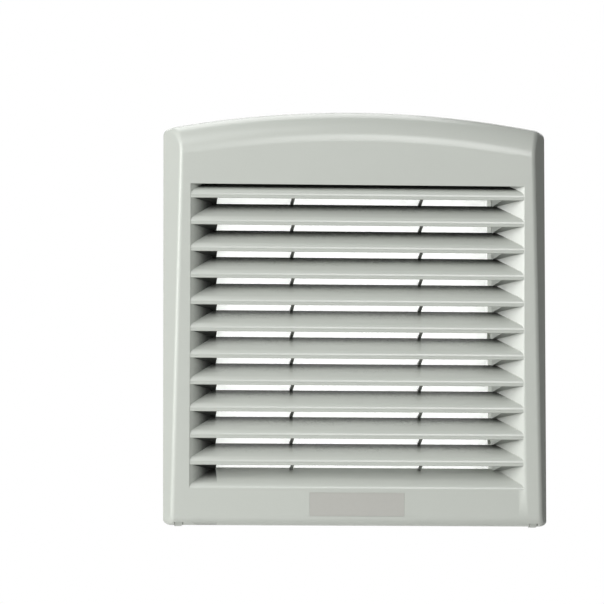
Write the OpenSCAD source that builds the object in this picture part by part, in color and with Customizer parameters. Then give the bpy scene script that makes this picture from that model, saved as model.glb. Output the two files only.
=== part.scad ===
// Ventilation grille for a square cut-out in a cabinet panel: a louvred cover that
// swings down on two bottom trunnions, a flange with its collar and filter tray,
// filter mat, rear guard, foam gasket, four sliding claws and four fixing screws.
// Millimetres. +Z is up, the front faces -Y, and the origin is the centre of the
// cut-out on the panel's outer face.

/* [Panel cut-out] */
// Side of the square cut-out in the panel
cutout = 223; // [215:1:227]
// Gap between the collar and the cut-out, each side
collar_clear = 0.5; // [0.3:0.1:0.8]
// Sheet thickness that the claws hold in the rest position
panel_t = 2; // [1.5:0.5:3]

/* [Cover outline] */
// How far the cover reaches past the cut-out at each side
side_overlap = 12.5; // [12:0.5:16]
// How far the cover reaches below the cut-out
bottom_overlap = 12.5; // [12:0.5:16]
// How far the crown of the arch reaches above the cut-out
top_overlap = 32.5; // [31:0.5:38]
// Drop of the arched top from its middle to the side walls
arch_rise = 11.7; // [8:0.1:14]
// Corner radius of the outline
corner_r = 5; // [3.5:0.5:6]

/* [Cover section] */
// Depth of the front face at the height of the cut-out's centre
front_depth = 21.4; // [20.5:0.1:25]
// Lean of the front face, the top standing out further than the bottom
front_tilt = 3.2; // [2.5:0.1:4]
// Draft of the side walls
side_draft = 21; // [16:0.5:24]
// Radius that rolls the front face back into the top wall
crown_round = 20; // [14:1:22]
// Radius between the front face and the bottom wall
bottom_round = 6.5; // [5:0.5:7]
// Wall thickness of the cover
cover_wall = 2.4; // [2:0.1:3]
// Gap between the cover's back edge and the base flange
parting = 0.2; // [0.15:0.05:0.5]

/* [Louvres] */
// Rough spacing of the louvres, which fill the window evenly
louvre_spacing = 17; // [16.5:0.1:17.9]
// Depth of a louvre from its lip to its back edge
louvre_depth = 14.9; // [13.5:0.1:15]
// How far a louvre's back edge stays below the next lip
louvre_lap = 2.15; // [1.5:0.05:2.8]
// How much higher the window's sill rises than a louvre
sill_extra = 0.8; // [0.4:0.1:1.2]
// Height of the upright land behind the lip
lip_land = 3; // [2.5:0.1:4]
// Radius of the bull nose above the land
nose_r = 3.4; // [2.5:0.1:4.5]
// Slope of the louvre's upper face
louvre_slope = 35; // [33:0.5:39]
// How far the louvres stand back from the front face
louvre_set = 0.2; // [0.1:0.05:0.4]
// Wall thickness of a louvre
louvre_wall = 2.2; // [1.6:0.1:2.6]
// Distance of the two upright ribs from the middle
rib_x = 41.5; // [35:0.5:50]
// Thickness of an upright rib
rib_t = 2; // [1.5:0.1:3]

/* [Window] */
// Width of the face beside the window
window_rail = 16; // [15.5:0.5:19]
// Inset of the window's drafted side walls at the back edge
window_inset = 16.7; // [14:0.1:18]
// How far the window's top edge lies below the cut-out's
window_drop = 16.3; // [15.5:0.1:18]
// Distance from the window's top edge down to the first louvre's lip
first_drop = 9.7; // [8:0.1:11]
// How far the foot of the window's sill lies above the cut-out's lower edge
sill_inset = 8.35; // [8:0.05:10]
// Thickness of the walls that carry the louvres
window_wall = 2; // [1.6:0.1:2.4]

/* [Label] */
// Width of the blank label
label_w = 61; // [40:1:80]
// Height of the blank label
label_h = 15; // [8:0.5:15]
// Distance from the foot of the window's sill down to the label
label_drop = 0.4; // [0.2:0.1:1]
// Thickness of the blank label
label_t = 0.5; // [0.3:0.1:0.8]
// Gap round the label in its recess
label_gap = 0.1; // [0.05:0.05:0.3]

/* [Hinge and tongues] */
// Radius of the cover's trunnions
pin_r = 2; // [1.8:0.1:2.4]
// Running clearance of a trunnion in its ear, on the radius
pin_clear = 0.06; // [0.03:0.01:0.1]
// Radius of the cover's bottom back edge about the hinge axis
hinge_round = 4; // [4:0.1:4.4]
// How far the ears show below the cover
ear_show = 0.5; // [0.3:0.1:0.8]
// Width of a hinge ear
ear_w = 4.5; // [3.5:0.5:6]
// Gap round an ear in the cover's slots
ear_gap = 0.6; // [0.5:0.1:1]
// How far the two holding tongues lie above the cut-out
tongue_out = 17; // [16:0.5:19]
// Distance of the tongues from the middle
tongue_x = 60; // [40:1:80]
// Width of a holding tongue
tongue_w = 12; // [8:1:16]
// Thickness of a holding tongue
tongue_t = 2; // [1.6:0.1:2.6]
// Gap between a tongue and each of its keepers
tongue_gap = 0.4; // [0.4:0.05:0.8]

/* [Base frame] */
// Thickness of the flange
flange_t = 3; // [2.8:0.1:3.4]
// Inset of the flange behind the cover's edge
flange_inset = 0.4; // [0.2:0.1:0.8]
// Depth of the collar behind the panel's face
collar_depth = 32; // [31:1:40]
// Wall thickness of the base frame
base_wall = 2.4; // [2:0.1:2.8]
// Gap between the louvre walls and the mouth of the tray
mouth_gap = 4; // [3:0.5:4.5]
// Height of the step from the mouth of the tray to the filter bay, from the panel's face
step_y = 4; // [3.5:0.5:6]
// Room for the claws between the tray and the collar
side_room = 16.2; // [15.5:0.1:18]
// Room between the tray and the collar above and below
end_room = 8.2; // [8:0.2:11]
// Width of the lip that the guard rests on
lip_w = 3; // [2:0.5:4]
// Thickness of that lip
lip_t = 1.8; // [1.5:0.1:2.5]

/* [Filter mat] */
// Thickness of the filter mat
filter_t = 9; // [7:0.5:10]
// Gap round the mat in its bay
filter_gap = 0.3; // [0.3:0.1:1]

/* [Rear guard] */
// Thickness of the guard
guard_t = 2.6; // [2:0.1:3]
// Width of the guard's rim
guard_rim = 4; // [3.5:0.5:8]
// Width of a guard bar
guard_bar = 2; // [1.6:0.1:3]
// Gap round the guard in its bay
guard_gap = 0.3; // [0.2:0.1:0.5]

/* [Gasket and screws] */
// Width of the foam gasket
gasket_w = 2.8; // [2:0.1:3]
// Depth of the gasket's groove
groove_d = 1.8; // [1.4:0.1:1.9]
// Gap round the gasket in its groove
gasket_gap = 0.2; // [0.1:0.05:0.3]
// How far the fixing screws stand in from the cut-out's sides
screw_inset = 21.5; // [10:0.5:30]
// How far the fixing screws stand above and below the cut-out
screw_out = 7.3; // [7:0.1:8]
// Radius of a screw over its thread
screw_r = 1.95; // [1.7:0.05:2.1]
// Radius of a screw's neck inside the flange
neck_r = 1.6; // [1.4:0.05:1.65]
// Clearance of a screw in its hole, on the radius
screw_clear = 0.2; // [0.1:0.05:0.3]
// Radius of a screw's countersunk head
screw_head_r = 3.6; // [3.3:0.1:3.8]
// Length of a fixing screw
screw_l = 12; // [8:1:20]

/* [Claws] */
// Distance of the claws above and below the middle
claw_z = 62; // [45:1:75]
// Width of a claw's body
claw_w = 14; // [12:1:18]
// Thickness of a claw's body
claw_t = 10.2; // [9:0.1:10.5]
// Thickness of a claw's hook at its tip
hook_t = 2.2; // [1.8:0.1:3]
// Width of a claw's hook
hook_w = 10; // [8:0.5:10.5]
// Reach of a hook past the edge of the cut-out
hook_reach = 5; // [3.5:0.5:6]
// Width of the collar left behind a claw's slot
slot_margin = 1.8; // [1.5:0.1:3]
// Sliding gap round a claw
claw_gap = 0.3; // [0.2:0.05:0.5]
// Gap between a hook and the sheet in the rest position
hook_gap = 0.1; // [0.05:0.05:0.3]
// Travel of a claw towards the panel
claw_in = 1; // [0.5:0.1:1]
// Travel of a claw away from the panel
claw_out = 2.5; // [1:0.1:2.5]

/* [Hidden] */
$fn = 96;
// Colours of the mouldings, the metal and the soft parts
shell_colour = [0.78, 0.80, 0.77];
label_colour = [0.80, 0.80, 0.77];
claw_colour = [0.16, 0.16, 0.17];
steel_colour = [0.72, 0.73, 0.75];
foam_colour = [0.20, 0.21, 0.21];
mat_colour = [0.94, 0.95, 0.94];
// Cut-out, cover outline and the plane where cover and flange part
cut_half = cutout / 2;
cover_w = cutout + 2 * side_overlap;
cover_h = cutout + bottom_overlap + top_overlap;
half_w = cover_w / 2;
bottom_z = -(cut_half + bottom_overlap);
top_z = bottom_z + cover_h;
part_y = -(flange_t + parting);
arch_r = (half_w * half_w + arch_rise * arch_rise) / (2 * arch_rise);
far = 2 * cover_h;
// The front face's own frame: y runs back from the face, z up along it
tilt_cos = cos(front_tilt);
tilt_sin = sin(front_tilt);
crown_q = (top_z - (front_depth + part_y) * tan(front_tilt)) * tilt_cos;
// The window's edges, and the louvres that fill it evenly
window_top = cut_half - window_drop;
first_lip = window_top - first_drop;
sill_q = sill_inset - cut_half;
louvres = round((first_lip - sill_q) / louvre_spacing);
pitch = (first_lip - sill_q) / louvres;
louvre_rise = pitch - louvre_lap;
sill_rise = louvre_rise + sill_extra;
// Louvre section, with its bull nose tangent to land and slope
nose_turn = 90 - louvre_slope;
nose_end = [louvre_set + nose_r * (1 - cos(nose_turn)), lip_land + nose_r * sin(nose_turn)];
louvre_in = louvre_set + louvre_wall;
louvre_drop = louvre_wall / cos(louvre_slope);
// Window sides and the mouth of the tray
window_half = half_w - window_rail;
window_back = window_half - window_inset;
flare = window_inset / louvre_depth;
mouth_half = window_back + window_wall + mouth_gap;
rib_back = louvre_depth + rib_t;
soffit_rise = first_lip + louvre_rise + louvre_wall - window_top;
// Hinge axis along X, and the ears on it
hinge_y = part_y - hinge_round;
hinge_z = bottom_z + hinge_round;
ear_r = hinge_round + ear_show;
ear_x = half_w - tan(side_draft) * (ear_r + hinge_round) - cover_wall - ear_w / 2 - 1.6;
boss_r = pin_r + 1.4;
// Base frame: collar, filter bay and the stack behind the mat
collar_half = cut_half - collar_clear;
collar_in = collar_half - base_wall;
collar_r = 4;
bay_x = collar_in - base_wall - side_room;
bay_z = collar_in - base_wall - end_room;
filter_w = 2 * (bay_x - filter_gap);
filter_h = 2 * (bay_z - filter_gap);
step_t = 2;
lip_y = collar_depth - lip_t;
guard_y = lip_y - guard_t;
mat_y = guard_y - filter_gap - filter_t;
nub_reach = 1.5;
nub_t = 1.6;
nub_l = 8;
// Gasket groove round the collar
groove_in = collar_half + 1;
groove_out = groove_in + gasket_w + 2 * gasket_gap;
// Screw pattern
screw_x = cut_half - screw_inset;
screw_z = cut_half + screw_out;
hole_r = screw_r + screw_clear;
// Tongues and keepers
tongue_z = cut_half + tongue_out;
keeper_l = 8;
keeper_t = 2;
keeper_side = 2;
// Claws: a body inside the collar and a hook that comes out through a slot
body_in = collar_in - claw_gap - claw_t;
body_out = collar_in - claw_gap;
claw_y = step_y + step_t + claw_in + claw_gap;
claw_l = collar_depth - slot_margin - 0.4 - claw_out - claw_y;
slot_half = hook_w / 2 + claw_gap;
pocket_half = claw_w / 2 + claw_gap;
slot_y = [panel_t - claw_in - 0.3, claw_y + claw_l + claw_out + 0.4];

// Extrudes an outline drawn in Y and Z along X
module along_x(width) {
    rotate([90, 0, 90])
        linear_extrude(height = width, center = true)
            children();
}

// Extrudes an outline drawn in X and Z from y_front to y_back
module along_y(y_front, y_back) {
    translate([0, y_back, 0])
        rotate([90, 0, 0])
            linear_extrude(height = y_back - y_front)
                children();
}

// Places children in the front face's own frame
module on_front() {
    translate([0, -front_depth, 0])
        rotate([front_tilt, 0, 0])
            children();
}

module mirror_x() {
    for (side = [0, 1])
        mirror([side, 0, 0])
            children();
}

module mirror_xz() {
    mirror_x()
        for (side = [0, 1])
            mirror([0, 0, side])
                children();
}

// A rectangle with round corners, centred
module round_rect(w, h, r) {
    square([w, h - 2 * r], center = true);
    square([w - 2 * r, h], center = true);
    for (x = [-1, 1], z = [-1, 1])
        translate([x * (w / 2 - r), z * (h / 2 - r)])
            circle(r);
}

// The drafted side walls, running up and down
module side_form(inset, back) {
    edge = half_w - inset / cos(side_draft);
    reach = 2 * front_depth;
    nose = edge - reach * tan(side_draft);
    linear_extrude(height = far, center = true)
        polygon([[-edge, back], [edge, back], [edge, part_y],
            [nose, part_y - reach], [-nose, part_y - reach], [-edge, part_y]]);
}

// The bottom wall, rounded to the front face and about the hinge axis
module bottom_form(inset, back) {
    low = bottom_z + inset;
    r = bottom_round - inset;
    centre_z = bottom_z + bottom_round;
    centre_y = (bottom_round - tilt_sin * centre_z) / tilt_cos - front_depth;
    foot = -front_depth - tan(front_tilt) * low + inset / tilt_cos;
    head = -front_depth - tan(front_tilt) * cover_h + inset / tilt_cos;
    curve = [for (turn = [0 : (90 - front_tilt) / 4 : 90])
        [centre_y - r * sin(turn), centre_z - r * cos(turn)]];
    along_x(cover_w + 2)
        if (inset > 0)
            polygon(concat([[back, low]], curve, [[head, cover_h], [back, cover_h]]));
        else
            difference() {
                polygon([[back, low], [back, cover_h], [head, cover_h], [foot, low]]);
                difference() {
                    polygon([[centre_y, centre_z], [centre_y, low - r],
                        [centre_y - 2 * r, low - r],
                        [centre_y - 2 * r * tilt_cos, centre_z - 2 * r * tilt_sin]]);
                    translate([centre_y, centre_z])
                        circle(r);
                }
                difference() {
                    translate([hinge_y, low - hinge_round])
                        square(2 * hinge_round);
                    translate([hinge_y, hinge_z])
                        circle(hinge_round);
                }
            }
}

// The arched top, rolled into the front face, as a turned form on the face's normal
module crown_form(inset) {
    r = arch_r - inset;
    roll = crown_round - inset;
    on_front()
        translate([0, inset, crown_q - arch_r])
            rotate([-90, 0, 0])
                rotate_extrude($fn = 360) {
                    square([r - roll, 3 * front_depth]);
                    translate([0, roll])
                        square([r, 3 * front_depth - roll]);
                    translate([r - roll, roll])
                        circle(roll);
                }
}

// What the outline's round corners take away, in X and Z
module corner_cuts(inset) {
    r = corner_r - inset / 2;
    x = half_w - inset - r;
    low = bottom_z + inset + r;
    arch_z = top_z - arch_r;
    high = arch_z + sqrt(pow(arch_r - inset - r, 2) - x * x);
    aim = atan2(x, high - arch_z);
    mirror_x()
        along_y(-2 * front_depth, front_depth) {
            difference() {
                translate([x, low - 2 * r])
                    square(2 * r);
                translate([x, low])
                    circle(r);
            }
            difference() {
                polygon([[x, high], [x + 2 * r, high], [x + 2 * r, high + 2 * r],
                    [x + 2 * r * sin(aim), high + 2 * r * cos(aim)]]);
                translate([x, high])
                    circle(r);
            }
        }
}

// The cover's outer form, or its hollow when inset by the wall
module cover_form(inset, back) {
    difference() {
        intersection() {
            crown_form(inset);
            side_form(inset, back);
            bottom_form(inset, back);
        }
        corner_cuts(inset);
    }
}

// Points of a louvre's upper face, from the top of its land to its back edge
function louvre_top(lip_q, front, rise) = concat(
    [for (turn = [0 : nose_turn / 8 : nose_turn + 0.01])
        [front + nose_r * (1 - cos(turn)), lip_q + lip_land + nose_r * sin(turn)]],
    [[louvre_depth, lip_q + rise]]);

// One louvre's section: lip, land, bull nose, slope and the face below
module louvre_section(lip_q) {
    polygon(concat([[louvre_set, lip_q]], louvre_top(lip_q, louvre_set, louvre_rise), [
        [louvre_depth, lip_q + louvre_rise - louvre_drop],
        [louvre_in, lip_q + louvre_rise - louvre_drop
            - (louvre_depth - louvre_in) * (louvre_rise - nose_end[1])
            / (louvre_depth - nose_end[0])],
        [louvre_in, lip_q]]));
}

// The flared sides of the window, grown by a wall, as a form running up and down
module window_sides(grow) {
    front = window_half + grow + flare;
    back = window_back + grow;
    linear_extrude(height = far, center = true)
        polygon([[-front, -1], [front, -1], [back, louvre_depth],
            [back, 2 * louvre_depth], [-back, 2 * louvre_depth],
            [-back, louvre_depth]]);
}

// Top and bottom of the window: soffit above, and a sill shaped like a louvre
module window_profile(grow, depth) {
    slope = soffit_rise / louvre_depth;
    sill = concat([for (p = louvre_top(sill_q, 0, sill_rise)) [p[0], p[1] - grow * 1.25]],
        [[depth, sill_q + sill_rise - grow * 1.25]]);
    along_x(cover_w)
        polygon(concat([[-1, sill[0][1]]], sill,
            [[depth, window_top + slope * depth + grow * 1.2],
                [-1, window_top - slope + grow * 1.2]]));
}

// The clear opening of the window, as deep as asked
module window_opening(depth) {
    intersection() {
        window_sides(0);
        window_profile(0, depth);
    }
}

// The opening grown by the walls round it
module window_block(depth) {
    intersection() {
        window_sides(window_wall * 1.4);
        window_profile(window_wall, depth);
    }
}

// All the louvres' sections
module louvre_sections() {
    for (i = [0 : louvres - 1])
        louvre_section(first_lip - i * pitch);
}

// Upright rib behind the louvres, stepped from each lip to the next back edge
module rib_section() {
    strip_q = louvre_depth - 0.3;
    difference() {
        union() {
            for (i = [0 : louvres - 1]) {
                lip = first_lip - i * pitch;
                polygon([[louvre_in - 0.3, lip + 0.5],
                    [strip_q, lip - pitch + louvre_rise - 0.5],
                    [rib_back, lip - pitch + louvre_rise - 0.5],
                    [rib_back, lip + louvre_rise - 0.5],
                    [strip_q, lip + louvre_rise - 0.5],
                    [louvre_in - 0.3, lip + lip_land]]);
            }
            translate([strip_q, first_lip])
                square([rib_back - strip_q, window_top + soffit_rise + 1 - first_lip]);
            translate([strip_q, sill_q + sill_rise - window_wall])
                square([rib_back - strip_q, pitch]);
        }
        louvre_sections();
    }
}

// Gussets between the window's side walls and the undersides of the louvres
module gussets() {
    mirror_x()
        intersection() {
            translate([window_back + 0.4, 0, 0])
                rotate([90, 0, 90])
                    linear_extrude(height = window_inset)
                        intersection() {
                            rib_section();
                            translate([0, -cover_h / 2])
                                square([louvre_depth, cover_h]);
                        }
            window_sides(window_wall / 2);
        }
}

// Walls round the window, and the ribs that carry the louvres from behind
module window_frame() {
    color(shell_colour)
        on_front() {
            difference() {
                intersection() {
                    window_block(louvre_depth);
                    translate([-half_w, cover_wall, -cover_h / 2])
                        cube([cover_w, louvre_depth - cover_wall, cover_h]);
                }
                window_opening(louvre_depth + 1);
            }
            gussets();
            for (x = [-rib_x, rib_x])
                translate([x, 0, 0])
                    along_x(rib_t)
                        rib_section();
        }
}

// The louvres, each from one flared side of the window to the other
module louvre_blades() {
    color(shell_colour)
        on_front()
            intersection() {
                window_sides(0);
                along_x(cover_w)
                    louvre_sections();
            }
}

// One trunnion with its boss on the side wall
module trunnion() {
    wall_x = half_w - tan(side_draft) * (hinge_round + pin_r) - cover_wall / 2;
    pin_x = ear_x - ear_w / 2 - 0.6;
    boss_x = ear_x + ear_w / 2 + ear_gap;
    translate([pin_x, hinge_y, hinge_z])
        rotate([0, 90, 0])
            cylinder(r = pin_r, h = wall_x - pin_x);
    translate([boss_x, hinge_y, hinge_z])
        rotate([0, 90, 0])
            cylinder(r = boss_r, h = wall_x - boss_x);
}

// Clears the ears where they pass through the cover's bottom wall
module ear_slot() {
    translate([ear_x - ear_w / 2 - ear_gap, hinge_y - ear_r - ear_gap, bottom_z - 1])
        cube([ear_w + 2 * ear_gap, ear_r + hinge_round + ear_gap + 1, bottom_round + 1]);
}

// Tongues that push between the keepers, from the front wall to near the flange
module cover_tongues() {
    tip = part_y - 0.6;
    color(shell_colour)
        intersection() {
            cover_form(cover_wall, part_y);
            for (x = [-tongue_x, tongue_x])
                translate([x - tongue_w / 2, tip - 2 * front_depth, tongue_z - tongue_t / 2])
                    cube([tongue_w, 2 * front_depth, tongue_t]);
        }
}

// Webs between the window walls and the outer walls, inside the cover
module cover_webs() {
    web_t = 1.6;
    web_back = part_y - keeper_l;
    web_x = window_half * 0.88;
    web_z = cut_half * 0.54;
    color(shell_colour)
        difference() {
            intersection() {
                cover_form(cover_wall, part_y);
                union() {
                    for (z = [-web_z, 0, web_z])
                        mirror_x()
                            translate([window_back + window_wall, -2 * front_depth, z])
                                cube([half_w, 2 * front_depth + web_back, web_t]);
                    for (x = [-web_x, 0, web_x])
                        translate([x, -2 * front_depth, first_lip + louvre_rise + 3])
                            cube([web_t, 2 * front_depth + web_back, cover_h / 4]);
                }
            }
            on_front()
                window_block(3 * louvre_depth);
        }
}

// Recess of the label, or the label itself when drawn smaller
module label_form(gap) {
    q = sill_q - label_drop - label_h / 2;
    on_front()
        translate([-label_w / 2 - gap, -gap * 5, q - label_h / 2 - gap])
            cube([label_w + 2 * gap, label_t + gap * 5, label_h + 2 * gap]);
}

// The cover's moulded shell, open at the window
module cover_shell() {
    drain_inset = 8;
    color(shell_colour)
        union() {
            difference() {
                cover_form(0, part_y);
                cover_form(cover_wall, 1);
                on_front()
                    window_opening(louvre_depth);
                mirror_x()
                    ear_slot();
                // The bottom wall stops short of the flange, which leaves a drain gap
                translate([-half_w + drain_inset, hinge_y + 1.8, bottom_z - 1])
                    cube([cover_w - 2 * drain_inset, hinge_round, cover_wall + 1.2]);
                label_form(label_gap);
            }
            mirror_x()
                trunnion();
        }
}

module blank_label() {
    color(label_colour)
        label_form(0);
}

// Outline of the flange: the cover's outline, slightly smaller
module flange_form() {
    edge = half_w - flange_inset;
    difference() {
        intersection() {
            translate([-edge, -flange_t, bottom_z + flange_inset])
                cube([2 * edge, flange_t, cover_h]);
            translate([0, 0, top_z - arch_r])
                rotate([90, 0, 0])
                    cylinder(r = arch_r - flange_inset, h = flange_t, $fn = 360);
        }
        corner_cuts(flange_inset);
    }
}

// A tube with round outer corners and a rectangular bore
module rect_tube(y_front, y_back, outer_x, outer_z, r, bore_x, bore_z) {
    along_y(y_front, y_back)
        difference() {
            round_rect(2 * outer_x, 2 * outer_z, r);
            square([2 * bore_x, 2 * bore_z], center = true);
        }
}

module screw_hole() {
    translate([0, -flange_t - 1, 0])
        rotate([-90, 0, 0])
            cylinder(r = hole_r, h = flange_t + 2);
    translate([0, -flange_t, 0])
        rotate([-90, 0, 0])
            cylinder(r1 = screw_head_r + screw_clear, r2 = hole_r,
                h = screw_head_r - screw_r);
}

module at_screws() {
    for (x = [-screw_x, screw_x], z = [-screw_z, screw_z])
        translate([x, 0, z])
            children();
}

// The two hinge ears with their bores, standing on the flange
module hinge_ears() {
    color(shell_colour)
        mirror_x()
            difference() {
                translate([ear_x - ear_w / 2, hinge_y, hinge_z])
                    rotate([90, 0, 90])
                        linear_extrude(height = ear_w)
                            difference() {
                                union() {
                                    circle(ear_r);
                                    translate([0, -ear_r])
                                        square([-flange_t - hinge_y, 2 * ear_r]);
                                }
                                translate([-flange_t - hinge_y, -2 * ear_r])
                                    square(4 * ear_r);
                            }
                translate([ear_x - ear_w, hinge_y, hinge_z])
                    rotate([0, 90, 0])
                        cylinder(r = pin_r + pin_clear, h = 2 * ear_w);
            }
}

// Pairs of ribs that pinch the tongues
module tongue_keepers() {
    color(shell_colour)
        for (x = [-tongue_x, tongue_x], side = [-1, 1])
            translate([x - tongue_w / 2 - keeper_side, -flange_t - keeper_l,
                tongue_z + side * (tongue_t / 2 + tongue_gap + keeper_t / 2) - keeper_t / 2])
                cube([tongue_w + 2 * keeper_side, keeper_l, keeper_t]);
}

// Flange with its gasket groove and screw holes
module base_flange() {
    color(shell_colour)
        difference() {
            flange_form();
            along_y(-flange_t - 1, 1)
                square([2 * mouth_half, 2 * collar_in], center = true);
            along_y(-groove_d, 1)
                difference() {
                    round_rect(2 * groove_out, 2 * groove_out, collar_r + 3);
                    round_rect(2 * groove_in, 2 * groove_in, collar_r);
                }
            at_screws()
                screw_hole();
        }
}

// Collar that passes through the cut-out, with the slots for the hooks
module base_collar() {
    color(shell_colour)
        difference() {
            rect_tube(0, collar_depth, collar_half, collar_half, collar_r,
                collar_in, collar_in);
            mirror_xz()
                translate([collar_in - 1, slot_y[0], claw_z - slot_half])
                    cube([base_wall + 2, slot_y[1] - slot_y[0], 2 * slot_half]);
        }
}

// Webs that stiffen the space between filter bay and collar
module tray_webs() {
    web_t = 1.8;
    web_y = step_y + step_t;
    web_l = collar_depth * 0.75 - web_y;
    color(shell_colour) {
        mirror_x()
            for (z = [-claw_z / 2, claw_z / 2])
                translate([bay_x + base_wall, web_y, z - web_t / 2])
                    cube([side_room, web_l, web_t]);
        for (x = [-bay_x * 2 / 3, 0, bay_x * 2 / 3])
            for (side = [0, 1])
                mirror([0, 0, side])
                    translate([x - web_t / 2, web_y, bay_z + base_wall])
                        cube([web_t, web_l, end_room]);
    }
}

// Small catches that keep the mat from falling forward
module mat_nubs() {
    for (z = [-filter_h / 3, 0, filter_h / 3])
        translate([bay_x - nub_reach, mat_y - filter_gap - nub_t, z - nub_l / 2])
            cube([nub_reach + 0.5, nub_t, nub_l]);
}

// Tray inside the collar: mouth walls, step, filter bay and the lip behind the guard
module filter_tray() {
    color(shell_colour)
        union() {
            mirror_x()
                translate([mouth_half, 0, -collar_in])
                    cube([base_wall, step_y + step_t, 2 * collar_in]);
            along_y(step_y, step_y + step_t)
                difference() {
                    square([2 * mouth_half + 1, 2 * collar_in], center = true);
                    square([2 * bay_x, 2 * bay_z], center = true);
                }
            rect_tube(step_y, collar_depth, bay_x + base_wall, bay_z + base_wall, 1.5,
                bay_x, bay_z);
            rect_tube(lip_y, collar_depth, bay_x + 0.5, bay_z + 0.5, 0.4,
                bay_x - lip_w, bay_z - lip_w);
            mirror_x()
                mat_nubs();
        }
}

// Pockets that guide the claws between tray and collar
module claw_pockets() {
    guide_t = 2;
    front = step_y + step_t;
    depth = collar_depth - 2 - front;
    inner = bay_x + base_wall;
    color(shell_colour)
        mirror_xz() {
            for (z = [claw_z - pocket_half - guide_t, claw_z + pocket_half])
                translate([inner, front, z])
                    cube([collar_in - inner, depth, guide_t]);
            translate([body_in - claw_gap - guide_t, front, claw_z - pocket_half - 1])
                cube([guide_t, depth, 2 * pocket_half + 2]);
        }
}

// Finger guard: rim, two uprights in line with the ribs, and two bars to each louvre
module rear_guard() {
    rim_x = bay_x - guard_gap;
    rim_z = bay_z - guard_gap;
    step_z = pitch * tilt_cos / 2;
    rows = floor((rim_z - guard_rim) / step_z);
    color(shell_colour)
        along_y(guard_y, guard_y + guard_t) {
            difference() {
                square([2 * rim_x, 2 * rim_z], center = true);
                square([2 * (rim_x - guard_rim), 2 * (rim_z - guard_rim)], center = true);
            }
            for (x = [-rib_x, rib_x])
                translate([x, 0])
                    square([guard_bar, 2 * rim_z - 2], center = true);
            for (i = [-rows : rows])
                translate([0, i * step_z])
                    square([2 * rim_x - 2, guard_bar], center = true);
        }
}

module filter_mat() {
    color(mat_colour)
        translate([-filter_w / 2, mat_y, -filter_h / 2])
            cube([filter_w, filter_t, filter_h]);
}

module panel_gasket() {
    inner = groove_in + gasket_gap;
    outer = inner + gasket_w;
    color(foam_colour)
        along_y(-groove_d + gasket_gap, 0)
            difference() {
                round_rect(2 * outer, 2 * outer, collar_r + 3 - gasket_gap);
                round_rect(2 * inner, 2 * inner, collar_r + gasket_gap);
            }
}

// Countersunk screw: recessed head flush with the flange, neck, thread and point
module fixing_screw() {
    head_h = screw_head_r - screw_r;
    point_l = screw_r * 0.77;
    recess_w = screw_head_r * 0.2;
    thread_l = screw_l - flange_t - point_l;
    difference() {
        union() {
            translate([0, -flange_t, 0])
                rotate([-90, 0, 0])
                    cylinder(r1 = screw_head_r, r2 = screw_r, h = head_h);
            translate([0, -flange_t, 0])
                rotate([-90, 0, 0])
                    cylinder(r = neck_r, h = flange_t + 0.5);
            rotate([-90, 0, 0])
                cylinder(r = screw_r, h = thread_l);
            translate([0, thread_l, 0])
                rotate([-90, 0, 0])
                    cylinder(r1 = screw_r, r2 = screw_r / 3, h = point_l);
        }
        for (turn = [0, 90])
            rotate([0, turn, 0])
                translate([-screw_head_r / 2, -flange_t - 1, -recess_w / 2])
                    cube([screw_head_r, 2.1, recess_w]);
    }
}

module fixing_screws() {
    color(steel_colour)
        at_screws()
            fixing_screw();
}

// One claw, drawn for the right-hand top pocket
module claw() {
    tip = cut_half + hook_reach;
    hook_y = panel_t + hook_gap;
    color(claw_colour) {
        translate([body_in, claw_y, claw_z - claw_w / 2])
            cube([body_out - body_in, claw_l, claw_w]);
        translate([0, 0, claw_z - hook_w / 2])
            linear_extrude(height = hook_w)
                polygon([[body_out - 2, claw_y], [collar_in + 0.2, claw_y],
                    [collar_in + 0.2, hook_y], [tip, hook_y], [tip, hook_y + hook_t],
                    [cut_half, claw_y + claw_l * 0.6], [body_out - 2, claw_y + claw_l]]);
    }
}

module claw_top_right() claw();
module claw_top_left() mirror([1, 0, 0]) claw();
module claw_bottom_right() mirror([0, 0, 1]) claw();
module claw_bottom_left() mirror([1, 0, 0]) mirror([0, 0, 1]) claw();

cover_shell();
window_frame();
louvre_blades();
cover_webs();
cover_tongues();
blank_label();
base_flange();
hinge_ears();
tongue_keepers();
base_collar();
filter_tray();
tray_webs();
claw_pockets();
rear_guard();
filter_mat();
panel_gasket();
fixing_screws();
claw_top_left();
claw_top_right();
claw_bottom_left();
claw_bottom_right();
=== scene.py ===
import bpy
from math import cos, pi, radians, sin, sqrt, tan
from mathutils import Matrix, Vector


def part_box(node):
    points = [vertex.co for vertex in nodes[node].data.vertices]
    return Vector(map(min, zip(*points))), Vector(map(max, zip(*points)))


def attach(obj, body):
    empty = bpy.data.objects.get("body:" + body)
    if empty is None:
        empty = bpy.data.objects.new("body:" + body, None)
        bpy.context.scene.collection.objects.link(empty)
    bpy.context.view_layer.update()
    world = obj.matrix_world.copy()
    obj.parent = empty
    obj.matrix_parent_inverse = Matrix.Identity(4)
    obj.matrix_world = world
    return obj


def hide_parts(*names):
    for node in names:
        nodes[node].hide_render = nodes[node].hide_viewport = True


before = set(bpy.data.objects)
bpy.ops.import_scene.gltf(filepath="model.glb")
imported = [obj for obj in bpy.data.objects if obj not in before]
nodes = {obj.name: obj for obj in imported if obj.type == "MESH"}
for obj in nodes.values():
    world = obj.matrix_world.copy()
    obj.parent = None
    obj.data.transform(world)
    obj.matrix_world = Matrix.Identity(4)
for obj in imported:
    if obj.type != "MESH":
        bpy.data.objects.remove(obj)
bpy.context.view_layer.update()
mm = 0.001     # the sizes below are in millimetres, and Blender's are in metres


def clearSelection():
    if bpy.context.object and bpy.context.object.mode != "OBJECT":
        bpy.ops.object.mode_set(mode="OBJECT")
    bpy.ops.object.select_all(action="DESELECT")


def pickObject(obj):
    clearSelection()
    obj.select_set(True)
    bpy.context.view_layer.objects.active = obj


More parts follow.
